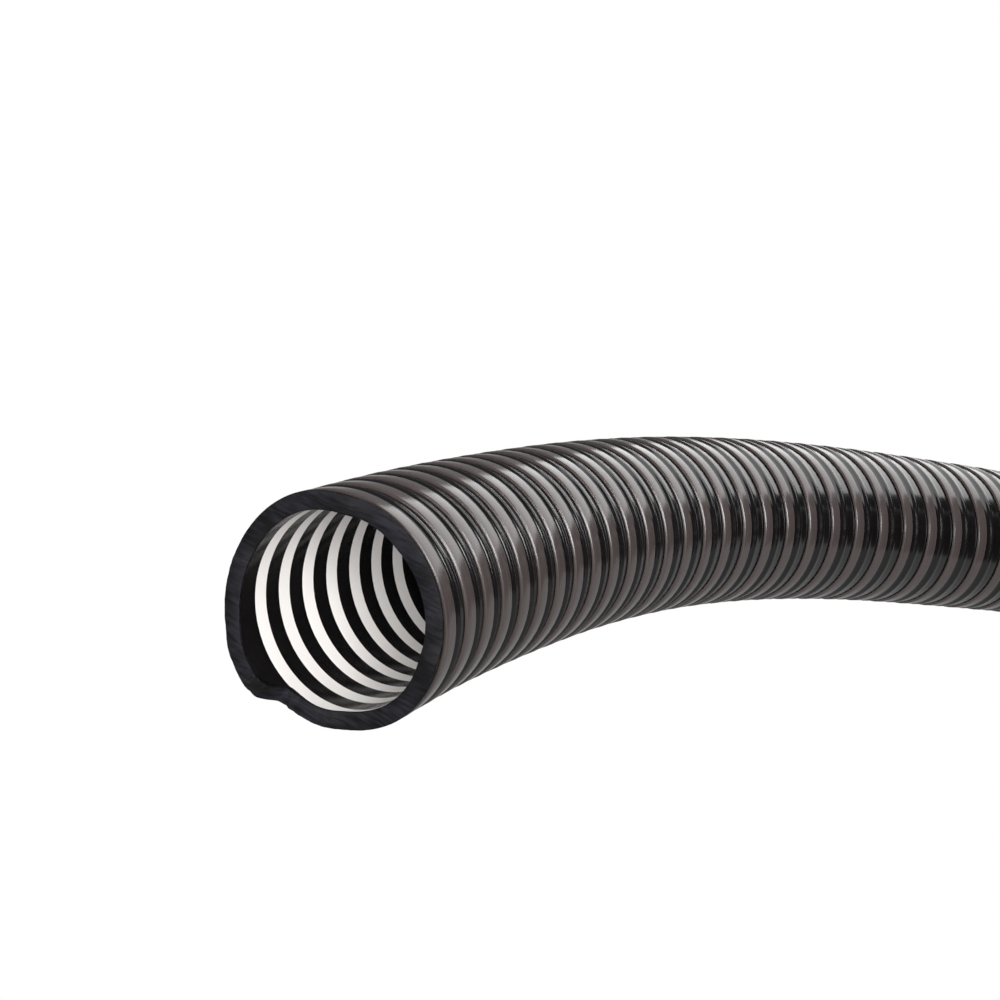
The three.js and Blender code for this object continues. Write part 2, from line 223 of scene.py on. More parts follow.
def node(tree, kind, inputs=None, **settings):
    made = tree.nodes.new(kind)
    for name, value in settings.items():
        setattr(made, name, value)
    for key, value in (inputs or {}).items():
        socket = made.inputs[key]
        if isinstance(value, bpy.types.NodeSocket):
            tree.links.new(value, socket)
        else:
            socket.default_value = value
    return made


def maths(tree, operation, *values, kind="ShaderNodeMath"):
    out = "Vector" if kind == "ShaderNodeVectorMath" else "Value"
    return node(tree, kind, dict(enumerate(values)), operation=operation).outputs[out]


def vectors(tree, operation, *values):
    return maths(tree, operation, *values, kind="ShaderNodeVectorMath")


def scaled(tree, vector, factor):
    made = node(tree, "ShaderNodeVectorMath", {0: vector, "Scale": factor}, operation="SCALE")
    return made.outputs["Vector"]


def geometry_tree(name, sockets):
    """A Geometry Nodes tree with a geometry output and the named inputs, each (name, type)."""
    tree = bpy.data.node_groups.new(name, "GeometryNodeTree")
    tree.interface.new_socket("Geometry", in_out="INPUT", socket_type="NodeSocketGeometry")
    for title, kind in sockets:
        tree.interface.new_socket(title, in_out="INPUT", socket_type="NodeSocket" + kind)
    tree.interface.new_socket("Geometry", in_out="OUTPUT", socket_type="NodeSocketGeometry")
    return tree, node(tree, "NodeGroupInput").outputs


def guide(tree, chosen):
    """The geometry of the object that the tree is given."""
    return node(tree, "GeometryNodeObjectInfo", {"Object": chosen}).outputs["Geometry"]


def kept(tree, geometry, kind, name, value):
    """The geometry with the value of each of its points kept, and that value."""
    capture = node(tree, "GeometryNodeCaptureAttribute", {"Geometry": geometry}, domain="POINT")
    capture.capture_items.new(kind, name)
    tree.links.new(value, capture.inputs[name])
    return capture.outputs["Geometry"], capture.outputs[name]


def marked(tree, geometry, name, value):
    """The geometry with a named vector that its material reads."""
    return node(tree, "GeometryNodeStoreNamedAttribute", {
        "Geometry": geometry, "Name": name, "Value": value,
    }, data_type="FLOAT_VECTOR", domain="POINT").outputs[0]


def ended(tree, geometry, finish):
    """The tree's end: a plain mesh in one material."""
    plain = node(tree, "GeometryNodeRealizeInstances", {"Geometry": geometry})
    painted = node(tree, "GeometryNodeSetMaterial", {"Geometry": plain.outputs[0], "Material": finish})
    node(tree, "NodeGroupOutput", {"Geometry": painted.outputs[0]})
    return tree


def grown(name, tree, values, source=None):
    """The plain mesh that the tree makes with these values for its named inputs."""
    holder = bpy.data.objects.new(name, source or bpy.data.meshes.new(name))
    bpy.context.scene.collection.objects.link(holder)
    modifier = holder.modifiers.new(name, "NODES")
    modifier.node_group = tree
    for item in tree.interface.items_tree:
        if item.in_out == "INPUT" and item.name in values:
            modifier[item.identifier] = values[item.name]
    evaluated = holder.evaluated_get(bpy.context.evaluated_depsgraph_get())
    mesh = bpy.data.meshes.new_from_object(evaluated)
    bpy.data.objects.remove(holder)
    mesh.name = name
    return mesh


def curve_object(name, points, closed):
    """A straight-sided curve through the points, as a guide for Geometry Nodes."""
    data = bpy.data.curves.new(name, "CURVE")
    data.dimensions = "3D"
    spline = data.splines.new("POLY")
    spline.points.add(len(points) - 1)
    for place, point in zip(spline.points, points):
        place.co = (*point, 1)
    spline.use_cyclic_u = closed
    made = bpy.data.objects.new(name, data)
    bpy.context.scene.collection.objects.link(made)
    return made


def winding_tree():
    """A straight strip of the section, wound as a right-handed helix round the path."""
    tree, given = geometry_tree("strip winding", [
        ("Path", "Object"), ("Section", "Object"), ("Steps", "Int"), ("Steps per turn", "Float"),
        ("First turn", "Float"), ("Start", "Float"), ("Pitch", "Float"), ("End", "Float"),
        ("Roughness", "Float"), ("Material", "Material"),
    ])
    place = node(tree, "GeometryNodeInputPosition").outputs[0]
    outline, in_section = kept(tree, guide(tree, given["Section"]), "VECTOR", "Place", place)
    line = node(tree, "GeometryNodeMeshLine", {"Count": given["Steps"], "Offset": (0, 0, 1)})
    spine = node(tree, "GeometryNodeMeshToCurve", {"Mesh": line.outputs[0]})
    index = node(tree, "GeometryNodeInputIndex").outputs[0]
    spine, number = kept(tree, spine.outputs[0], "INT", "Number", index)
    strip = node(tree, "GeometryNodeCurveToMesh", {
        "Curve": spine, "Profile Curve": outline, "Fill Caps": True,
    })
    turn = maths(tree, "ADD", maths(tree, "DIVIDE", number, given["Steps per turn"]), given["First turn"])
    flat = node(tree, "ShaderNodeSeparateXYZ", {0: in_section})

    # Where the knife cut the hose, at this share of a turn.
    round_end = maths(tree, "FRACT", maths(tree, "MULTIPLY", turn, -1.0))
    wander = node(tree, "ShaderNodeFloatCurve", {"Value": round_end})
    knots = wander.mapping.curves[0].points
    knots[0].location, knots[1].location = CUT_WANDER[0], CUT_WANDER[-1]
    for share, depth in CUT_WANDER[1:-1]:
        knots.new(share, depth)
    wander.mapping.update()
    cut = maths(tree, "MULTIPLY_ADD", wander.outputs[0], CUT_SPAN, given["End"])

    # How far the winding has come. The pitch grows by the soft strip's share of the section.
    growing = SPREAD_TO - SPREAD_FROM
    spread = node(tree, "ShaderNodeMapRange", {
        "Value": turn, "From Min": SPREAD_FROM, "From Max": SPREAD_TO, "To Max": growing,
    }).outputs[0]
    eased_in = maths(tree, "DIVIDE", maths(tree, "MULTIPLY", spread, spread), 2 * growing)
    full = maths(tree, "MAXIMUM", maths(tree, "SUBTRACT", turn, SPREAD_TO), 0.0)
    drawn_out = maths(tree, "MULTIPLY", maths(tree, "ADD", eased_in, full), RIB_SPREAD)
    slant = node(tree, "ShaderNodeMapRange", {
        "Value": flat.outputs["Y"], "From Min": HOSE_BORE, "From Max": 0.0218,
        "To Min": 0.0031, "To Max": 0.0,
    })
    wall_share = node(tree, "ShaderNodeMapRange", {
        "Value": maths(tree, "SUBTRACT", flat.outputs["X"], slant.outputs[0]),
        "From Min": 0.0018, "From Max": 0.0055, "To Max": RIB_SPREAD / growing,
    })
    drawn_out = maths(tree, "MULTIPLY_ADD", spread, wall_share.outputs[0], drawn_out)
    begun = maths(tree, "ADD", given["Start"], drawn_out)
    wound_to = maths(tree, "MULTIPLY_ADD", turn, given["Pitch"], begun)

    # A strip ends on the cut. The skin of the cut has no pitch and follows it all round.
    follows_cut = maths(tree, "LESS_THAN", given["Pitch"], 0.0001)
    middle = maths(tree, "MULTIPLY_ADD", follows_cut, cut, wound_to)
    along = maths(tree, "ADD", middle, flat.outputs["X"])
    least = maths(tree, "MULTIPLY_ADD", flat.outputs["X"], 0.004, cut)
    least = maths(tree, "SUBTRACT", least, maths(tree, "MULTIPLY", follows_cut, CUT_FACE))
    along = maths(tree, "MAXIMUM", along, least)

    # Round the hose's line, anticlockwise as it goes.
    sample = node(tree, "GeometryNodeSampleCurve", {
        "Curves": guide(tree, given["Path"]), "Length": along,
    }, mode="LENGTH", use_all_curves=True)
    forward = vectors(tree, "NORMALIZE", sample.outputs["Tangent"])
    side = vectors(tree, "NORMALIZE", vectors(tree, "CROSS_PRODUCT", forward, (0, 0, 1)))
    up = vectors(tree, "CROSS_PRODUCT", side, forward)
    angle = maths(tree, "MULTIPLY", turn, -2 * pi)
    across = scaled(tree, side, maths(tree, "COSINE", angle))
    above = scaled(tree, up, maths(tree, "SINE", angle))
    outward = scaled(tree, vectors(tree, "ADD", across, above), flat.outputs["Y"])
    wound = vectors(tree, "ADD", sample.outputs["Position"], outward)

    # The knife's torn edge, roughest at the notch.
    grain = node(tree, "ShaderNodeTexNoise", {"Vector": wound, "Scale": 700.0, "Detail": 4.0})
    from_notch = maths(tree, "ABSOLUTE", maths(tree, "SUBTRACT", round_end, CUT_NOTCH))
    tearing = node(tree, "ShaderNodeMapRange", {
        "Value": from_notch, "From Min": 0.02, "From Max": 0.06, "To Min": 4.0, "To Max": 1.0,
    })
    ragged = maths(tree, "MULTIPLY", maths(tree, "SUBTRACT", grain.outputs[0], 1.0), given["Roughness"])
    ragged = maths(tree, "MULTIPLY", ragged, tearing.outputs[0])
    ragged = maths(tree, "MULTIPLY", ragged, maths(tree, "LESS_THAN", flat.outputs["X"], 0.0))
    torn = vectors(tree, "ADD", wound, scaled(tree, forward, ragged))
    moved = node(tree, "GeometryNodeSetPosition", {"Geometry": strip.outputs[0], "Position": torn})
    mark = node(tree, "ShaderNodeCombineXYZ", {
        "X": maths(tree, "MULTIPLY", turn, 2 * pi * 0.0207), "Y": flat.outputs["X"], "Z": flat.outputs["Y"],
    })
    return ended(tree, marked(tree, moved.outputs[0], "strip", mark.outputs[0]), given["Material"])


def material(name):
    """A new material, its tree and its Principled BSDF."""
    made = bpy.data.materials.new(name)
    made.use_nodes = True
    return made, made.node_tree, made.node_tree.nodes["Principled BSDF"]


def blended(tree, share, first, second):
    """A colour between the two."""
    return node(tree, "ShaderNodeMix", {"Factor": share, 6: first, 7: second}, data_type="RGBA").outputs[2]


def dressed(tree, shader, colour, height, strength, distance, roughness=None):
    """The colour, the bump of the height and any changing roughness, on the material's shader."""
    bump = node(tree, "ShaderNodeBump", {"Height": height, "Strength": strength, "Distance": distance})
    tree.links.new(colour, shader.inputs["Base Color"])
    tree.links.new(bump.outputs["Normal"], shader.inputs["Normal"])
    if roughness is not None:
        tree.links.new(roughness, shader.inputs["Roughness"])


def shader_group(name, inputs, outputs):
    """A shader node group with named float or colour inputs and outputs."""
    tree = bpy.data.node_groups.new(name, "ShaderNodeTree")
    for title, kind, value in inputs:
        socket = tree.interface.new_socket(title, in_out="INPUT", socket_type="NodeSocket" + kind)
        socket.default_value = value
    for title, kind in outputs:
        tree.interface.new_socket(title, in_out="OUTPUT", socket_type="NodeSocket" + kind)
    return tree, node(tree, "NodeGroupInput").outputs


def drawn_plastic_group():
    """Long faint drawing lines that follow the strip, a slight orange peel, and dulled patches."""
    tree, given = shader_group(
        "drawn plastic",
        [
            ("Lines", "Float", 1.0), ("Peel", "Float", 1.0),
            ("Shine", "Float", 0.2), ("Dulling", "Float", 0.1),
        ],
        [("Roughness", "Float"), ("Height", "Float"), ("Streaks", "Float")],
    )
    strip = node(tree, "ShaderNodeAttribute", attribute_name="strip", attribute_type="GEOMETRY")
    long = node(tree, "ShaderNodeMapping", {"Vector": strip.outputs["Vector"], "Scale": (14, 2600, 2600)})
    lines = node(tree, "ShaderNodeTexNoise", {"Vector": long.outputs[0], "Scale": 1.0, "Detail": 2.0})
    coordinates = node(tree, "ShaderNodeTexCoord").outputs["Object"]
    peel = node(tree, "ShaderNodeTexNoise", {"Vector": coordinates, "Scale": 700.0, "Detail": 2.0})
    patches = node(tree, "ShaderNodeTexNoise", {"Vector": coordinates, "Scale": 60.0, "Detail": 4.0})
    dull = maths(tree, "MULTIPLY", patches.outputs[0], given["Dulling"])
    rough = maths(tree, "ADD", dull, given["Shine"])
    height = maths(tree, "MULTIPLY", lines.outputs[0], given["Lines"])
    height = maths(tree, "MULTIPLY_ADD", peel.outputs[0], given["Peel"], height)
    node(tree, "NodeGroupOutput", {"Roughness": rough, "Height": height, "Streaks": lines.outputs[0]})
    return tree


drawn_plastic = drawn_plastic_group()


def hose_plastic(name, shine):
    """A material of one of the two drawn strips, still without its colour, and its finish."""
    made, tree, shader = material(name)
    finish = node(tree, "ShaderNodeGroup", {
        "Lines": 0.5, "Peel": 0.25, "Shine": shine, "Dulling": 0.12,
    }, node_tree=drawn_plastic)
    shader.inputs["IOR"].default_value = 1.45
    return made, tree, shader, finish.outputs


def soft_black_plastic():
    made, tree, shader, finish = hose_plastic("soft black plastic", 0.10)
    tint = blended(tree, finish["Streaks"], (0.0022, 0.0020, 0.0022, 1), (0.0060, 0.0052, 0.0054, 1))
    dressed(tree, shader, tint, finish["Height"], 0.35, 0.00012, finish["Roughness"])
    return made


def rigid_white_plastic():
    """White through the bore, smoke-coloured where the thin skin covers it outside."""
    made, tree, shader, finish = hose_plastic("rigid white plastic", 0.13)
    strip = node(tree, "ShaderNodeAttribute", attribute_name="strip", attribute_type="GEOMETRY")
    depth = node(tree, "ShaderNodeSeparateXYZ", {0: strip.outputs["Vector"]}).outputs["Z"]
    skinned = node(tree, "ShaderNodeMapRange", {"Value": depth, "From Min": 0.0200, "From Max": 0.0212})
    smoke = blended(tree, finish["Streaks"], (0.030, 0.0235, 0.0228, 1), (0.058, 0.047, 0.0455, 1))
    tint = blended(tree, skinned.outputs[0], (0.88, 0.85, 0.825, 1), smoke)
    dressed(tree, shader, tint, finish["Height"], 0.35, 0.00012, finish["Roughness"])
    return made


def knife_cut_plastic():
    """The matt charcoal face that a knife leaves, with fine scratches and pale scuffs."""
    made, tree, shader = material("knife cut plastic")
    coordinates = node(tree, "ShaderNodeTexCoord").outputs["Object"]
    drawn = node(tree, "ShaderNodeMapping", {
        "Vector": coordinates, "Rotation": (0.9, 0.0, 0.0), "Scale": (600, 190, 1500),
    })
    scratches = node(tree, "ShaderNodeTexNoise", {"Vector": drawn.outputs[0], "Scale": 1.0, "Detail": 4.0})
    blotches = node(tree, "ShaderNodeTexNoise", {"Vector": coordinates, "Scale": 130.0, "Detail": 5.0})
    lit = maths(tree, "MULTIPLY", scratches.outputs[0], blotches.outputs[0])
    tint = node(tree, "ShaderNodeValToRGB", {0: lit})
    tint.color_ramp.elements[0].position = 0.18
    tint.color_ramp.elements[0].color = (0.0006, 0.0006, 0.0009, 1)
    tint.color_ramp.elements[1].position = 0.40
    tint.color_ramp.elements[1].color = (0.0100, 0.0096, 0.0135, 1)
    rough = node(tree, "ShaderNodeMapRange", {
        "Value": scratches.outputs[0], "To Min": 0.48, "To Max": 0.75,
    })
    dressed(tree, shader, tint.outputs[0], lit, 0.8, 0.0004, rough.outputs[0])
    shader.inputs["Specular IOR Level"].default_value = 0.12
    return made


def joined(name, meshes):
    """One object that holds all the meshes, with their materials, in order."""
    parts = bmesh.new()
    finishes = []
    for mesh in meshes:
        before = len(parts.faces)
        parts.from_mesh(mesh)
        parts.faces.ensure_lookup_table()
        shift = len(finishes)
        for face in parts.faces[before:]:
            face.material_index += shift
        finishes.extend(mesh.materials)
    whole = bpy.data.meshes.new(name)
    parts.to_mesh(whole)
    parts.free()
    for finish in finishes:
        whole.materials.append(finish)
    made = bpy.data.objects.new(name, whole)
    bpy.context.scene.collection.objects.link(made)
    return made


def smooth_shaded(obj, angle=32):
    obj.data.shade_smooth()
    obj.data.set_sharp_from_angle(angle=radians(angle))
    return obj


before_end = [hose_line[0] - Vector((LEAD, 0, 0))]
path_guide = curve_object("hose guide", before_end + hose_line, closed=False)
wind = winding_tree()
held_back = RIB_SPREAD * (SPREAD_FROM + SPREAD_TO) / 2
last_turn = (hose_length - FIRST_RIB + held_back) / (RIB_PITCH + RIB_SPREAD) - 1.5


def strip_mesh(name, section, from_turn, to_turn, steps_per_turn, finish, start, pitch, roughness=0.0):
    outline = curve_object(name + " section", [(x / 1000, y / 1000, 0) for x, y in section], closed=True)
    mesh = grown(name, wind, {
        "Path": path_guide, "Section": outline, "Steps": ceil((to_turn - from_turn) * steps_per_turn) + 1,
        "Steps per turn": float(steps_per_turn), "First turn": from_turn, "Start": start, "Pitch": pitch,
        "End": LEAD + CUT_DEEPEST, "Roughness": roughness, "Material": finish,
    })
    bpy.data.objects.remove(outline)
    return mesh


def wound_strip(name, section, from_turn, to_turn, steps_per_turn, finish):
    """One of the hose's two strips, between two turns."""
    return strip_mesh(
        name, section, from_turn, to_turn, steps_per_turn, finish, LEAD + FIRST_RIB, RIB_PITCH,
    )


soft_black = soft_black_plastic()
rigid_white = rigid_white_plastic()
knife_cut = knife_cut_plastic()
end_turn = FIRST_TURN + 3.5
close_end = FIRST_TURN + CLOSE_TURNS
hose_wall = joined("hose_wall", [
    wound_strip("end fill", RIB_SECTION, FIRST_TURN, RIB_START, CUT_STEPS, soft_black),
    wound_strip("end wall", WALL_SECTION, FIRST_TURN, end_turn, CUT_STEPS, soft_black),
    wound_strip("near wall", WALL_SECTION, end_turn, close_end, CLOSE_STEPS, soft_black),
    wound_strip("far wall", WALL_SECTION_COARSE, close_end, last_turn, COIL_STEPS, soft_black),
    strip_mesh("cut face", CUT_SECTION, 0.0, 1.0, 360, knife_cut, 0.0, 0.0, 0.0004),
])
hose_rib = joined("hose_rib", [
    wound_strip("end rib", RIB_SECTION, RIB_START, end_turn, CUT_STEPS, rigid_white),
    wound_strip("near rib", RIB_SECTION, end_turn, close_end, CLOSE_STEPS, rigid_white),
    wound_strip("far rib", RIB_SECTION_COARSE, close_end, last_turn, COIL_STEPS, rigid_white),
])
bpy.data.objects.remove(path_guide)
for piece, stood_for, finish in (
    (hose_wall, ("cut_end_wall", "hose_run", "hose_coil", "hose_tail", "far_end_wall"), "hose_wall"),
    (hose_rib, ("cut_end_rib", "far_end_rib"), "hose_rib"),
):
    smooth_shaded(piece)
    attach(piece, "hose")
    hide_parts(*stood_for)


# ---- ties ----
# 25 mm black hook-and-loop webbing round the coil. One end is sewn round the lower bar of a
# moulded cinch ring, the other turns round the upper bar and folds back on itself.

WEB_WIDE = 0.025
WEB_THICK = 0.0016
WEB_EDGE = WEB_WIDE / 2
WEB_OFF = 0.0012  # the webbing's inner face stands off the hose by this much
TAIL_OFF = 0.0022
RING_BAR = 0.0016  # radius of the ring's bar
RING_SPAN = 0.018
RING_OFF = 0.0056  # from the hose to the ring's middle
LAP = 0.038
TIE_ANGLES = (25, 295, 205, 115)
TIE_TAILS = {3: 205, 4: 115}  # the ties that go over the tail as well


def pulled_round(circles):
    """The outline of a band pulled tight round the circles (x, y, radius), anticlockwise."""
    points = sorted(
        (x + radius * cos(radians(a)), y + radius * sin(radians(a)))
        for x, y, radius in circles for a in range(0, 360, 6)
    )
    sides = []
    for order in (points, points[::-1]):
        chain = []
        for p in order:
            while len(chain) > 1 and (chain[-1][0] - chain[-2][0]) * (p[1] - chain[-2][1]) <= (
                (chain[-1][1] - chain[-2][1]) * (p[0] - chain[-2][0])
            ):
                chain.pop()
            chain.append(p)
        sides += chain[:-1]
    return [Vector((x, y, 0)) for x, y in sides]


def even_steps(points, step):
    """Points along the line through the given ones, about that far apart."""
    line = [points[0]]
    for a, b in zip(points, points[1:]):
        count = max(1, round((b - a).length / step))
        line += [a.lerp(b, (i + 1) / count) for i in range(count)]
    return line


def band_tree():
    """A section swept along a flat path, with its place along and across kept for the weave."""
    tree, given = geometry_tree("band", [
        ("Path", "Object"), ("Section", "Object"), ("Material", "Material"),
    ])
    flat = node(tree, "GeometryNodeSetCurveNormal", {"Curve": guide(tree, given["Path"])}, mode="Z_UP")
    so_far = node(tree, "GeometryNodeSplineParameter").outputs["Length"]
    path, along = kept(tree, flat.outputs[0], "FLOAT", "Length", so_far)
    in_section = node(tree, "GeometryNodeInputPosition").outputs[0]
    outline, across = kept(tree, guide(tree, given["Section"]), "VECTOR", "Place", in_section)
    cloth = node(tree, "GeometryNodeCurveToMesh", {
        "Curve": path, "Profile Curve": outline, "Fill Caps": True,
    })
    place = node(tree, "ShaderNodeSeparateXYZ", {0: across})
    mark = node(tree, "ShaderNodeCombineXYZ", {
        "X": along, "Y": place.outputs["Y"], "Z": place.outputs["X"],
    })
    return ended(tree, marked(tree, cloth.outputs[0], "weave", mark.outputs[0]), given["Material"])


def stitch_tree():
    """A straight row of short thread stitches that stand a little out of the webbing."""
    tree, given = geometry_tree("stitch row", [
        ("First", "Vector"), ("Step", "Vector"), ("Count", "Int"), ("Turn", "Vector"),
        ("Material", "Material"),
    ])
    row = node(tree, "GeometryNodeMeshLine", {
        "Count": given["Count"], "Start Location": given["First"], "Offset": given["Step"],
    })
    thread = node(tree, "GeometryNodeMeshUVSphere", {"Segments": 10, "Rings": 6, "Radius": 0.00045})
    drawn_out = node(tree, "GeometryNodeTransform", {
        "Geometry": thread.outputs[0], "Scale": (1.0, 1.0, 2.6),
    })
    sewn = node(tree, "GeometryNodeInstanceOnPoints", {
        "Points": row.outputs[0], "Instance": drawn_out.outputs[0], "Rotation": given["Turn"],
    })
    return ended(tree, sewn.outputs[0], given["Material"])


def woven_group():
    """Fine basket weave along and across the band, with a little fuzz."""
    tree, given = shader_group("woven", [("Thread", "Float", 0.0011)], [("Height", "Float")])
    weave = node(tree, "ShaderNodeAttribute", attribute_name="weave", attribute_type="GEOMETRY")
    place = node(tree, "ShaderNodeSeparateXYZ", {0: weave.outputs["Vector"]})
    along = maths(tree, "DIVIDE", place.outputs["X"], given["Thread"])
    across = maths(tree, "DIVIDE", place.outputs["Y"], given["Thread"])
    warp = maths(tree, "ABSOLUTE", maths(tree, "SINE", maths(tree, "MULTIPLY", across, pi)))
    over_under = maths(tree, "MULTIPLY", along, pi / 2)
    over_under = maths(tree, "MULTIPLY_ADD", maths(tree, "FLOOR", across), pi / 2, over_under)
    weft = maths(tree, "ABSOLUTE", maths(tree, "SINE", over_under))
    fuzz = node(tree, "ShaderNodeTexNoise", {
        "Vector": weave.outputs["Vector"], "Scale": 2600.0, "Detail": 3.0,
    })
    height = maths(tree, "MULTIPLY", warp, weft)
    height = maths(tree, "MULTIPLY_ADD", fuzz.outputs[0], 0.35, height)
    node(tree, "NodeGroupOutput", {"Height": height})
    return tree


def webbing_fabric():
    made, tree, shader = material("black webbing")
    cloth = node(tree, "ShaderNodeGroup", node_tree=woven_group())
    height = cloth.outputs["Height"]
    tint = blended(tree, height, (0.004, 0.004, 0.0045, 1), (0.017, 0.017, 0.018, 1))
    dressed(tree, shader, tint, height, 0.8, 0.0004)
    shader.inputs["Roughness"].default_value = 0.85
    shader.inputs["Sheen Weight"].default_value = 0.08
    return made


def sewing_thread():
    made, tree, shader = material("sewing thread")
    twist = node(tree, "ShaderNodeTexWave", {
        "Vector": node(tree, "ShaderNodeTexCoord").outputs["Object"], "Scale": 900.0, "Distortion": 1.5,
    }).outputs["Fac"]
    tint = blended(tree, twist, (0.10, 0.10, 0.105, 1), (0.22, 0.22, 0.225, 1))
    dressed(tree, shader, tint, twist, 0.5, 0.0002)
    shader.inputs["Roughness"].default_value = 0.7
    return made


def moulded_group():
    """The fine spark-eroded grain of a moulding, with rubbed patches and a few scratches."""
    tree, given = shader_group(
        "moulded surface", [("Grain", "Float", 1.0), ("Roughness", "Float", 0.45)],
        [("Height", "Float"), ("Roughness", "Float"), ("Wear", "Float")],
    )
    coordinates = node(tree, "ShaderNodeTexCoord").outputs["Object"]
    grain = node(tree, "ShaderNodeTexNoise", {"Vector": coordinates, "Scale": 1500.0, "Detail": 3.0})
    patches = node(tree, "ShaderNodeTexNoise", {"Vector": coordinates, "Scale": 55.0, "Detail": 5.0})
    stretched = node(tree, "ShaderNodeMapping", {"Vector": coordinates, "Scale": (120, 1400, 300)})
    rubs = node(tree, "ShaderNodeTexNoise", {"Vector": stretched.outputs[0], "Scale": 1.0, "Detail": 2.0})
    scratches = node(tree, "ShaderNodeMapRange", {
        "Value": rubs.outputs[0], "From Min": 0.66, "From Max": 0.74,
    })
    height = maths(tree, "MULTIPLY", grain.outputs[0], given["Grain"])
    height = maths(tree, "SUBTRACT", height, maths(tree, "MULTIPLY", scratches.outputs[0], 0.6))
    rough = maths(tree, "MULTIPLY_ADD", patches.outputs[0], 0.22, given["Roughness"])
    node(tree, "NodeGroupOutput", {"Height": height, "Roughness": rough, "Wear": scratches.outputs[0]})
    return tree


moulded_surface = moulded_group()


def moulded_plastic(name, dark, pale, roughness, grain):
    made, tree, shader = material(name)
    finish = node(tree, "ShaderNodeGroup", {
        "Grain": grain, "Roughness": roughness,
    }, node_tree=moulded_surface).outputs
    tint = blended(tree, finish["Wear"], (*dark, 1), (*pale, 1))
    dressed(tree, shader, tint, finish["Height"], 0.4, 0.0002, finish["Roughness"])
    return made


def rounded(corners, radius, steps=4):
    """The closed outline with each of its (x, y) corners rounded off."""
    points = [Vector(c) for c in corners]
    outline = []
    for before, corner, after in zip(points[-1:] + points[:-1], points, points[1:] + points[:1]):
        reach = min(radius, (before - corner).length * 0.45, (after - corner).length * 0.45)
        start = corner + (before - corner).normalized() * reach
        end = corner + (after - corner).normalized() * reach
        for i in range(steps + 1):
            t = i / steps
            outline.append(start * (1 - t) ** 2 + corner * (2 * t * (1 - t)) + end * t ** 2)
    return outline


band = band_tree()
stitching = stitch_tree()
webbing = webbing_fabric()
thread = sewing_thread()
ring_plastic = moulded_plastic("tie ring plastic", (0.016, 0.016, 0.018), (0.06, 0.06, 0.062), 0.34, 0.7)
web_section = rounded([
    (-WEB_THICK / 2, -WEB_EDGE), (WEB_THICK / 2, -WEB_EDGE),
    (WEB_THICK / 2, WEB_EDGE), (-WEB_THICK / 2, WEB_EDGE),
], 0.0006)
bar_section = [
    Vector((RING_BAR * cos(2 * pi * i / 12), RING_BAR * sin(2 * pi * i / 12))) for i in range(12)
]


def swept(name, path, section, finish, closed=False):
    line = curve_object(name + " path", path, closed)
    outline = curve_object(name + " section", [(p.x, p.y, 0) for p in section], closed=True)
    mesh = grown(name, band, {"Path": line, "Section": outline, "Material": finish})
    bpy.data.objects.remove(line)
    bpy.data.objects.remove(outline)
    return mesh


def bundle_outline(offset, tail_angle):
    """A band pulled round the coil's four turns, and round the tail where there is one."""
    circles = [
        (x, y, HOSE_OUTSIDE + offset)
        for x in (outer_turn - 2 * HOSE_OUTSIDE, outer_turn)
        for y in (coil_low.z + HOSE_OUTSIDE, coil_high.z - HOSE_OUTSIDE)
    ]
    if tail_angle is not None:
        circles.append((*tail_place(tail_angle), HOSE_OUTSIDE + TAIL_OFF - WEB_OFF + offset))
    return pulled_round(circles)


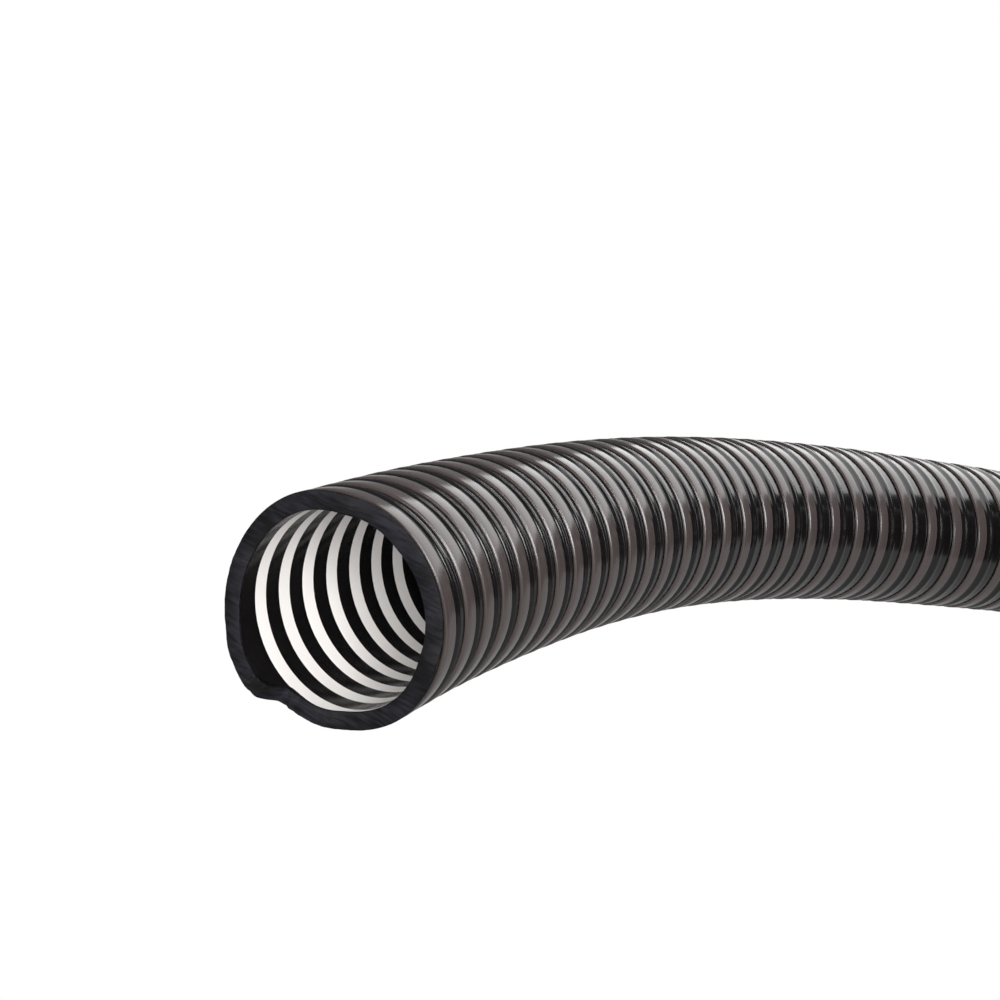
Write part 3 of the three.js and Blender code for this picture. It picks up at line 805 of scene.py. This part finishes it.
ring_middle = (coil_low.z + coil_high.z) / 2
ring_x = outer_turn + HOSE_OUTSIDE + RING_OFF
lower_bar = ring_middle - RING_SPAN / 2
upper_bar = ring_middle + RING_SPAN / 2
flat_x = outer_turn + HOSE_OUTSIDE + WEB_OFF + WEB_THICK / 2
turn_radius = RING_BAR + WEB_THICK / 2 + 0.0003
seam_x = flat_x + WEB_THICK * 1.75
seam_foot = lower_bar - 0.0185
for number, tie_angle in enumerate(TIE_ANGLES, 1):
    tail_angle = TIE_TAILS.get(number)
    outline = bundle_outline(WEB_OFF + WEB_THICK / 2, tail_angle)
    top_bar = Vector((flat_x, upper_bar, 0))
    first = min(range(len(outline)), key=lambda i: (outline[i] - top_bar).length)
    around = [
        p for p in outline[first:] + outline[:first]
        if not (p.x > outer_turn and lower_bar - 0.003 < p.y < upper_bar + 0.003)
    ]
    upper_eye = [
        Vector((ring_x - turn_radius * cos(a), upper_bar - turn_radius * sin(a), 0))
        for a in (pi * i / 12 for i in range(1, 13))
    ]
    lower_eye = [Vector((p.x, 2 * ring_middle - p.y, 0)) for p in upper_eye]
    over = bundle_outline(WEB_OFF + WEB_THICK * 2.05, tail_angle)
    lapped = [p for p in over if p.x > outer_turn and upper_bar + 0.006 < p.y < upper_bar + LAP]
    lapped.sort(key=lambda p: -p.y)
    flap = [Vector((ring_x + turn_radius - 0.0003, lower_bar - y, 0)) for y in (0.003, 0.006)]
    flap += [Vector((flat_x + WEB_THICK * 1.1, lower_bar - y, 0)) for y in (0.010, 0.015, 0.020)]
    path = even_steps(lapped + upper_eye[::-1] + around + lower_eye + flap, 0.003)
    cloth = swept("webbing", path, web_section, webbing)
    rows = [
        grown("stitch row", stitching, {
            "First": (seam_x, seam_foot, side), "Step": step, "Count": count, "Turn": turn,
            "Material": thread,
        })
        for side, step, count, turn in (
            (-0.009, (0.0, 0.0019, 0.0), 5, (pi / 2, 0.0, 0.0)),
            (0.009, (0.0, 0.0019, 0.0), 5, (pi / 2, 0.0, 0.0)),
            (-0.0085, (0.0, 0.0, 0.0019), 10, (0.0, 0.0, 0.0)),
        )
    ]
    tie_band = joined("webbing_tie_%d" % number, [cloth, *rows])
    ring_half = WEB_EDGE + 0.0019
    ring_path = [p.to_3d() for p in rounded([
        (-ring_half, -RING_SPAN / 2), (ring_half, -RING_SPAN / 2),
        (ring_half, RING_SPAN / 2), (-ring_half, RING_SPAN / 2),
    ], 0.004, 8)]
    ring_mesh = swept("ring", ring_path, bar_section, ring_plastic, closed=True)
    ring_mesh.transform(Matrix.Translation((ring_x, ring_middle, 0)) @ Matrix.Rotation(pi / 2, 4, "Y"))
    tie_ring = joined("cinch_ring_%d" % number, [ring_mesh])
    out = Vector((cos(radians(tie_angle)), sin(radians(tie_angle)), 0))
    up = Vector((0, 0, 1))
    to_place = Matrix((out, up, out.cross(up))).transposed().to_4x4()
    to_place.translation = (coil_middle.x, coil_middle.y, 0)
    for piece, stood_for, finish in (
        (tie_band, "tie_band_%d", "tie_fabric"), (tie_ring, "tie_ring_%d", "tie_plastic"),
    ):
        piece.data.transform(to_place)
        smooth_shaded(piece, 40)
        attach(piece, "hose")
        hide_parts(stood_for % number)


# ---- swivel cuff ----
# Black moulded plastic. The sleeve is screwed and glued on the hose's end, and the shell turns
# on the sleeve's flange, held by a cap that is sonically welded to it. A natural plastic washer
# and a rubber face seal lie on the flange's two sides.

GRIP_RIBS = 36
GRIP_ROUND = 0.0014
cuff_grey = moulded_plastic("cuff plastic", (0.014, 0.0145, 0.017), (0.055, 0.056, 0.060), 0.36, 1.0)
washer_white = moulded_plastic("washer plastic", (0.62, 0.60, 0.56), (0.75, 0.73, 0.70), 0.42, 0.3)
seal_black = moulded_plastic("seal rubber", (0.010, 0.010, 0.010), (0.035, 0.034, 0.033), 0.68, 1.4)


def turned(name, profile, fillet, finish, sides=128):
    """A ring turned about the cuff's axis from a closed (x, radius) profile with filleted edges."""
    outline = rounded(profile, fillet)
    parts = bmesh.new()
    rings = []
    for i in range(sides):
        a = 2 * pi * i / sides
        rings.append([
            parts.verts.new((p.x, cuff_joint.y + p.y * cos(a), cuff_joint.z + p.y * sin(a)))
            for p in outline
        ])
    for ring, following in zip(rings, rings[1:] + rings[:1]):
        for j in range(len(outline)):
            k = (j + 1) % len(outline)
            parts.faces.new((ring[j], ring[k], following[k], following[j]))
    bmesh.ops.recalc_face_normals(parts, faces=parts.faces)
    mesh = bpy.data.meshes.new(name)
    parts.to_mesh(mesh)
    parts.free()
    mesh.materials.append(finish)
    return mesh


def grip_tree():
    """Rounded bars set round the cuff's axis, from one place along it to another."""
    tree, given = geometry_tree("grip ribs", [
        ("Count", "Int"), ("Radius", "Float"), ("Length", "Float"), ("Middle", "Vector"),
        ("Material", "Material"),
    ])
    circle = node(tree, "GeometryNodeMeshCircle", {"Vertices": given["Count"], "Radius": given["Radius"]})
    bar = node(tree, "GeometryNodeMeshUVSphere", {"Segments": 12, "Rings": 10, "Radius": GRIP_ROUND})
    stretch = maths(tree, "DIVIDE", given["Length"], 2 * GRIP_ROUND)
    shaped = node(tree, "GeometryNodeTransform", {
        "Geometry": bar.outputs[0],
        "Scale": node(tree, "ShaderNodeCombineXYZ", {"X": 1.0, "Y": 1.0, "Z": stretch}).outputs[0],
    })
    ribs = node(tree, "GeometryNodeInstanceOnPoints", {
        "Points": circle.outputs[0], "Instance": shaped.outputs[0],
    })
    placed = node(tree, "GeometryNodeTransform", {
        "Geometry": ribs.outputs[0], "Translation": given["Middle"], "Rotation": (0.0, pi / 2, 0.0),
    })
    return ended(tree, placed.outputs[0], given["Material"])


def ring_sizes(name):
    """A turned node's first and last place along the axis, and its outer radius."""
    least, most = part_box(name)
    return least.x, most.x, (most.z - least.z) / 2


sleeve_from, sleeve_to, flange_radius = ring_sizes("cuff_sleeve")
washer_from, washer_to, _ = ring_sizes("cuff_washer")
cap_from, cap_to, cuff_radius = ring_sizes("cuff_cap")
seal_from, seal_to, _ = ring_sizes("cuff_seal")
shell_from, shell_to, _ = ring_sizes("cuff_shell")
sleeve_bore = HOSE_OUTSIDE + 0.0003
sleeve_radius = sleeve_bore + 0.0022
mouth_bore = 0.0192
mouth_radius = mouth_bore + 0.0038
shell_bore = flange_radius + 0.0003
mouth_back = shell_to - 0.040
shoulder = seal_to + 0.0003
sleeve = joined("hose_sleeve", [turned("sleeve", [
    (sleeve_from, sleeve_bore), (sleeve_to - 0.004, sleeve_bore), (sleeve_to - 0.004, 0.0193),
    (sleeve_to, 0.0193), (sleeve_to, flange_radius), (sleeve_to - 0.004, flange_radius),
    (sleeve_to - 0.004, sleeve_radius), (sleeve_from + 0.007, sleeve_radius),
    (sleeve_from + 0.006, sleeve_radius + 0.0008), (sleeve_from, sleeve_radius + 0.0008),
], 0.0006, cuff_grey)])
washer = joined("flange_washer", [turned("washer", [
    (washer_from, sleeve_radius + 0.0003), (washer_to, sleeve_radius + 0.0003),
    (washer_to, flange_radius), (washer_from, flange_radius),
], 0.0003, washer_white)])
cap = joined("retaining_cap", [turned("cap", [
    (cap_from, sleeve_radius + 0.0003), (cap_to, sleeve_radius + 0.0003), (cap_to, flange_radius),
    (cap_from + 0.004, flange_radius), (cap_from + 0.004, cuff_radius), (cap_from, cuff_radius),
], 0.0009, cuff_grey)])
seal = joined("face_seal", [turned("seal", [
    (seal_from, flange_radius - 0.005), (seal_to, flange_radius - 0.005),
    (seal_to, flange_radius), (seal_from, flange_radius),
], 0.0005, seal_black)])
grip_from = shell_from + 0.003
grip_to = shoulder - 0.002
shell = joined("swivel_shell", [
    turned("shell", [
        (shell_from, shell_bore), (shoulder, shell_bore), (shoulder, mouth_bore), (shell_to, mouth_bore),
        (shell_to, mouth_radius), (shell_to - 0.005, mouth_radius + 0.0001),
        (shell_to - 0.0055, mouth_radius - 0.0005), (mouth_back, mouth_radius - 0.0003),
        (mouth_back - 0.012, cuff_radius), (shell_from, cuff_radius),
    ], 0.0010, cuff_grey),
    grown("grip ribs", grip_tree(), {
        "Count": GRIP_RIBS, "Radius": cuff_radius - 0.0004, "Length": grip_to - grip_from,
        "Middle": ((grip_from + grip_to) / 2, cuff_joint.y, cuff_joint.z), "Material": cuff_grey,
    }),
])
for piece, stood_for, body, finish in (
    (sleeve, "cuff_sleeve", "hose", "cuff_plastic"),
    (seal, "cuff_seal", "hose", "seal_rubber"),
    (washer, "cuff_washer", "swivel_cuff", "washer_plastic"),
    (cap, "cuff_cap", "swivel_cuff", "cuff_plastic"),
    (shell, "cuff_shell", "swivel_cuff", "cuff_plastic"),
):
    smooth_shaded(piece, 35)
    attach(piece, body)
    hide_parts(stood_for)


# ---- stage ----
# A white table top that runs out of sight, a long soft box overhead, a small soft box that
# looks into the bare end, and a room that is dark in front and pale behind.

floor_mesh = bpy.data.meshes.new("floor")
floor_mesh.from_pydata([(-6, -6, 0), (6, -6, 0), (6, 6, 0), (-6, 6, 0)], [], [(0, 1, 2, 3)])
floor = bpy.data.objects.new("floor", floor_mesh)
bpy.context.scene.collection.objects.link(floor)
floor.location.z = -0.0005  # clear of the ground that the hose lies on
table_top, tree, shader = material("table top")
rays = node(tree, "ShaderNodeLightPath")
glow = node(tree, "ShaderNodeMapRange", {
    "Value": rays.outputs["Is Camera Ray"], "To Min": 0.50, "To Max": 1.0,
})
lit = node(tree, "ShaderNodeEmission", {"Color": (1, 1, 1, 1), "Strength": glow.outputs[0]})
tree.nodes.remove(shader)
tree.links.new(lit.outputs[0], tree.nodes["Material Output"].inputs["Surface"])
floor.data.materials.append(table_top)

world = bpy.data.worlds.new("room")
bpy.context.scene.world = world
world.use_nodes = True
tree = world.node_tree
room = tree.nodes["Background"]
rays = node(tree, "ShaderNodeLightPath")
white = node(tree, "ShaderNodeBackground", {"Color": (1, 1, 1, 1), "Strength": 1.0})
toward = node(tree, "ShaderNodeSeparateXYZ", {0: node(tree, "ShaderNodeTexCoord").outputs["Generated"]})
pale = node(tree, "ShaderNodeMapRange", {
    "Value": toward.outputs["Y"], "From Min": 0.0, "From Max": 0.25, "To Min": 0.012, "To Max": 0.30,
}, interpolation_type="SMOOTHSTEP")
tree.links.new(pale.outputs[0], room.inputs["Strength"])
room.inputs["Color"].default_value = (1, 1, 1, 1)
mixed = node(tree, "ShaderNodeMixShader", {
    0: rays.outputs["Is Camera Ray"], 1: room.outputs[0], 2: white.outputs[0],
})
tree.links.new(mixed.outputs[0], tree.nodes["World Output"].inputs["Surface"])


def soft_box(name, place, target, size, power, turn=0):
    data = bpy.data.lights.new(name, "AREA")
    data.shape = "RECTANGLE"
    data.size, data.size_y = size
    data.energy = power
    lamp = bpy.data.objects.new(name, data)
    bpy.context.scene.collection.objects.link(lamp)
    lamp.location = place
    lamp.rotation_mode = "QUATERNION"
    facing = (Vector(place) - Vector(target)).to_track_quat("Z", "Y")
    lamp.rotation_quaternion = facing @ Matrix.Rotation(radians(turn), 3, "Z").to_quaternion()
    lamp.visible_camera = False


soft_box("overhead", (3.3, 0.52, 1.0), (3.3, 0.52, 0.0), (7.2, 1.96), 125, turn=17)
soft_box("end light", (-0.95, -0.15, 0.50), (-0.24, 0.32, 0.03), (0.6, 0.5), 14)
soft_box("bore light", (-1.05, 0.26, 0.12), (-0.24, 0.325, 0.03), (0.5, 0.22), 7)
